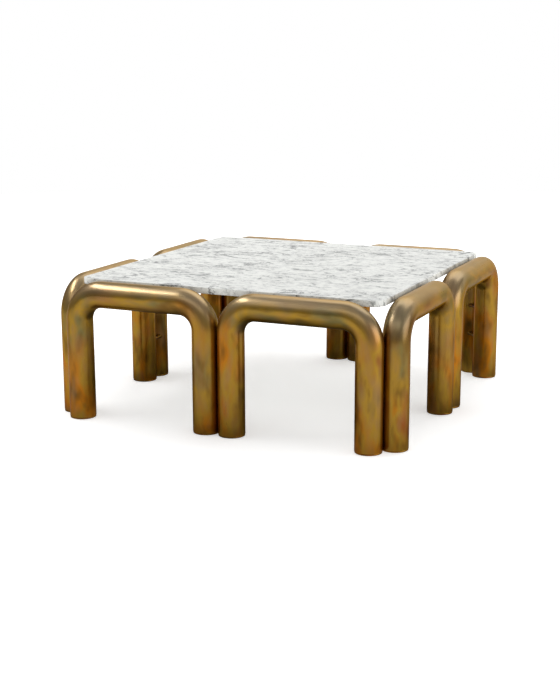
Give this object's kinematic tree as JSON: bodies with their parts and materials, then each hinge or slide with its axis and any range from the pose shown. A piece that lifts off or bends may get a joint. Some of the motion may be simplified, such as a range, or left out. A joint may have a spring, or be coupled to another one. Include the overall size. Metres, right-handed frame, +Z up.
{
  "type": "coffee table",
  "caption": "Square low coffee table: inverted-U loops of fat aged-brass tube stand in a ring and hold a rounded marble slab between their top bars.",
  "frame": {"origin": "on the floor under the middle of the table", "axes": "+Z up, -Y to the front side, +X to the right side; the four sides are alike"},
  "size_m": [1.07, 1.07, 0.404],
  "materials": {
    "marble": "polished",
    "loop_brass": "satin",
    "cap_brass": "satin",
    "tie_brass": "satin",
    "support_steel": "matte",
    "pad_rubber": "matte"
  },
  "bodies": {
    "root": {"marble_top": "marble", "front_loop_a": "loop_brass", "front_cap_a_inner": "cap_brass", "front_cap_a_outer": "cap_brass", "front_support_a": "support_steel", "front_pad_a": "pad_rubber", "front_loop_b": "loop_brass", "front_cap_b_inner": "cap_brass", "front_cap_b_outer": "cap_brass", "front_support_b": "support_steel", "front_pad_b": "pad_rubber", "front_tie_1": "tie_brass", "front_tie_2": "tie_brass", "front_corner_tie_1": "tie_brass", "front_corner_tie_2": "tie_brass", "right_loop_a": "loop_brass", "right_cap_a_inner": "cap_brass", "right_cap_a_outer": "cap_brass", "right_support_a": "support_steel", "right_pad_a": "pad_rubber", "right_loop_b": "loop_brass", "right_cap_b_inner": "cap_brass", "right_cap_b_outer": "cap_brass", "right_support_b": "support_steel", "right_pad_b": "pad_rubber", "right_tie_1": "tie_brass", "right_tie_2": "tie_brass", "right_corner_tie_1": "tie_brass", "right_corner_tie_2": "tie_brass", "back_loop_a": "loop_brass", "back_cap_a_inner": "cap_brass", "back_cap_a_outer": "cap_brass", "back_support_a": "support_steel", "back_pad_a": "pad_rubber", "back_loop_b": "loop_brass", "back_cap_b_inner": "cap_brass", "back_cap_b_outer": "cap_brass", "back_support_b": "support_steel", "back_pad_b": "pad_rubber", "back_tie_1": "tie_brass", "back_tie_2": "tie_brass", "back_corner_tie_1": "tie_brass", "back_corner_tie_2": "tie_brass", "left_loop_a": "loop_brass", "left_cap_a_inner": "cap_brass", "left_cap_a_outer": "cap_brass", "left_support_a": "support_steel", "left_pad_a": "pad_rubber", "left_loop_b": "loop_brass", "left_cap_b_inner": "cap_brass", "left_cap_b_outer": "cap_brass", "left_support_b": "support_steel", "left_pad_b": "pad_rubber", "left_tie_1": "tie_brass", "left_tie_2": "tie_brass", "left_corner_tie_1": "tie_brass", "left_corner_tie_2": "tie_brass"}
  },
  "joints": []
}
